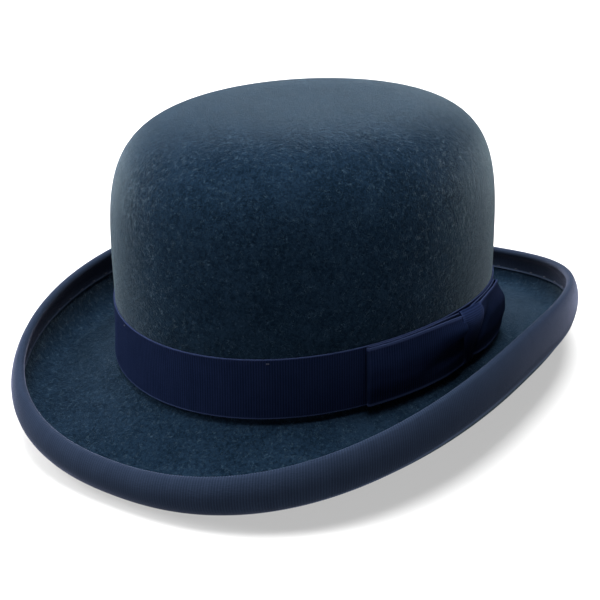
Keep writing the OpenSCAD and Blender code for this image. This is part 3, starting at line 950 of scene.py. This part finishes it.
side_us = np.radians(np.linspace(62, 14, 26))
tip_us = np.radians(90 - 22 * np.linspace(0, 1, 30) ** 2.2)
lining_turns = np.linspace(0, full_turn, 8 * pleats_round + 1)
side_shape = np.array([place(a, lining_line(a, side_us, 30 * MM, 0.5 * MM)) for a in lining_turns])
lining_side = cut_and_lay("satin_side", side_shape, satin_t)
finish_piece(lining_side, ["lining_side"], satin_finish)
tip_shape = np.array([place(a, lining_line(a, tip_us)) for a in np.linspace(0, full_turn, 181)])
lining_tip = cut_and_lay("satin_tip", tip_shape, satin_t)
finish_piece(lining_tip, ["lining_tip"], satin_finish)


def piping_centre(a):
    """Where side and tip of the lining meet."""
    line = beside(dome_line(a, np.radians([66, 65, 64])), -felt_t - lining_gap - satin_t / 2)
    return line[1]


piping = ring_tube("satin_piping_cord", piping_centre, 0.8 * MM)
finish_piece(piping, ["lining_piping"], piping_finish)

# %% Guard film and ticket
film_finish, film_shader = new_material("clear_film", 0.12, 0.5)
film_shader.inputs["Transmission Weight"].default_value = 0.9
film_shader.inputs["IOR"].default_value = 1.45
film_tone = noise(film_finish, add(film_finish, "TexCoord").outputs["Object"], 60, 3.0)
wire(film_finish, blend_colours(film_finish, film_tone, (0.75, 0.80, 0.82), (0.90, 0.93, 0.94)),
     film_shader.inputs["Base Color"])
set_bump(film_finish, film_shader, film_tone, 0.4 * MM, 0.3)
film_low, film_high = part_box("lining_guard")
select_only()
bpy.ops.mesh.primitive_circle_add(vertices=96, radius=1, fill_type="NGON")
film = bpy.context.object
film.name = film.data.name = "guard_film"
film.scale = ((film_high.x - film_low.x) / 2, (film_high.y - film_low.y) / 2, 1)
film.location = (0, crown_y, (film_low.z + film_high.z) / 2)
bpy.ops.object.transform_apply(location=True, rotation=True, scale=True)
bpy.ops.object.mode_set(mode="EDIT")
bpy.ops.mesh.inset(thickness=1.2 * MM, depth=0)
bpy.ops.mesh.inset(thickness=4 * MM, depth=0)
bpy.ops.object.mode_set(mode="OBJECT")
give_thickness(film, film_high.z - film_low.z)
finish_piece(film, ["lining_guard"], film_finish, 30)

paper_finish, paper_shader = new_material("paper", 0.85, 0.2)
paper_where = add(paper_finish, "TexCoord").outputs["Object"]
pulp = noise(paper_finish, paper_where, 900, 4.0, 0.6)
wire(paper_finish, blend_colours(paper_finish, pulp, (0.66, 0.62, 0.50), (0.84, 0.81, 0.72)),
     paper_shader.inputs["Base Color"])
set_bump(paper_finish, paper_shader, pulp, 0.1 * MM, 0.5)
ticket_low, ticket_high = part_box("size_ticket")
ticket_x = np.linspace(ticket_low.x, ticket_high.x, 13)[:, None]
ticket_z = np.linspace(ticket_low.z, ticket_high.z, 13)[None, :]
ticket_curl = 0.06 * MM * np.cos(ticket_x / ticket_high.x * math.pi / 2)
ticket_y = (ticket_low.y + ticket_high.y) / 2 - ticket_curl
ticket_shape = np.stack([ticket_x + 0 * ticket_z, ticket_y + 0 * ticket_z, ticket_z + 0 * ticket_x], axis=-1)
ticket = lay_flat_piece("paper_ticket", ticket_shape)
give_thickness(ticket, 0.25 * MM)
finish_piece(ticket, ["size_ticket"], paper_finish, 30)

# %% [markdown]
# ## Floor, light and camera
# The hat stands on a studio floor that is lit, and that also glows until it is white: the glow is
# painted light, which lifts the hat's shadow on it. A bright band low round the room grazes the
# felt and makes its nap glow at every outline, and four soft lamps light the hat from above and
# from the side away from the bow. A picture of a studio could light it too, but lamps can be set
# one by one.

# %% Floor
select_only()
bpy.ops.mesh.primitive_plane_add(size=12, location=(0, 0, 0))
floor = bpy.context.object
floor.name = "studio_floor"
floor_finish, floor_shader = new_material("studio_floor", 0.9, 0.0)
floor_spot = add(floor_finish, "TexCoord").outputs["Object"]
floor_tone = noise(floor_finish, floor_spot, 3.0)
wire(floor_finish, blend_colours(floor_finish, floor_tone, (0.24, 0.24, 0.24), (0.26, 0.26, 0.26)),
     floor_shader.inputs["Base Color"])
floor_shader.inputs["Emission Color"].default_value = (1, 1, 1, 1)
# The floor glows a little near the hat, which softens the shadow, and more far off.
glow_near, glow_more = 0.46, 0.56
far = add(floor_finish, "VectorMath", "LENGTH", i0=floor_spot).outputs[1]
far_glow = math_node(floor_finish, "MULTIPLY", fade(floor_finish, far, 0.5, 1.6), glow_more)
glow = math_node(floor_finish, "ADD", glow_near, far_glow)
wire(floor_finish, glow, floor_shader.inputs["Emission Strength"])
floor.data.materials.append(floor_finish)
tell(floor_finish)

# %% Light
world = bpy.data.worlds.new("white_tent")
world.use_nodes = True
sky = world.node_tree.nodes
height = sky.new("ShaderNodeSeparateXYZ")
band_of_white = sky.new("ShaderNodeMapRange")
band_of_white.interpolation_type = "SMOOTHSTEP"
# The four sockets are: from height, to height, strength low down, strength overhead.
for socket, value in ((1, 0.06), (2, 0.50), (3, 1.85), (4, 0.02)):
    band_of_white.inputs[socket].default_value = value
world.node_tree.links.new(sky.new("ShaderNodeTexCoord").outputs["Generated"], height.inputs[0])
world.node_tree.links.new(height.outputs[2], band_of_white.inputs[0])
world.node_tree.links.new(band_of_white.outputs[0], sky["Background"].inputs["Strength"])
sky["Background"].inputs["Color"].default_value = (1, 1, 1, 1)
scene.world = world
scene.view_settings.view_transform = "Standard"


def soft_light(name, spot, aim, size, power):
    """A square lamp at spot that faces aim."""
    bpy.ops.object.light_add(type="AREA", location=spot)
    lamp = bpy.context.object
    lamp.name = name
    lamp.data.size = size
    lamp.data.energy = power
    lamp.rotation_euler = (Vector(aim) - Vector(spot)).to_track_quat("-Z", "Y").to_euler()
    print(name, "lamp:", power, "W")


soft_light("high", (0, 0.1, 2.2), (0, 0, 0.06), 1.2, 160)
soft_light("overhead", (-0.15, 0.25, 1.3), (0, 0, 0.06), 1.2, 24)
soft_light("front_left", (-1.1, -0.6, 0.9), (0, 0, 0.03), 1.0, 50)
soft_light("back_left", (-1.0, 0.8, 0.5), (0, 0, 0.08), 0.9, 44)

# %% Camera
turn = math.radians(32.36)  # round toward the bow
lift = math.radians(19.43)  # above the floor
roll = math.radians(-0.77)
camera_away = 0.5566
target = Vector((0, crown_y, 0.070))
back = Vector((math.sin(turn) * math.cos(lift), -math.cos(turn) * math.cos(lift), math.sin(lift)))
right = Vector((math.cos(turn), math.sin(turn), 0))
up = back.cross(right)
rolled_right = right * math.cos(roll) + up * math.sin(roll)
rolled_up = up * math.cos(roll) - right * math.sin(roll)
facing = Matrix((rolled_right, rolled_up, back)).transposed().to_4x4()
bpy.ops.object.camera_add()
camera = bpy.context.object
camera.matrix_world = Matrix.Translation(target + back * camera_away) @ facing
camera.data.sensor_width = 36
camera.data.lens = 68.35
camera.data.shift_x, camera.data.shift_y = -0.0128, -0.1105
camera.data.clip_start = 0.01
scene.camera = camera
print("camera at", [round(x, 3) for x in camera.matrix_world.translation])
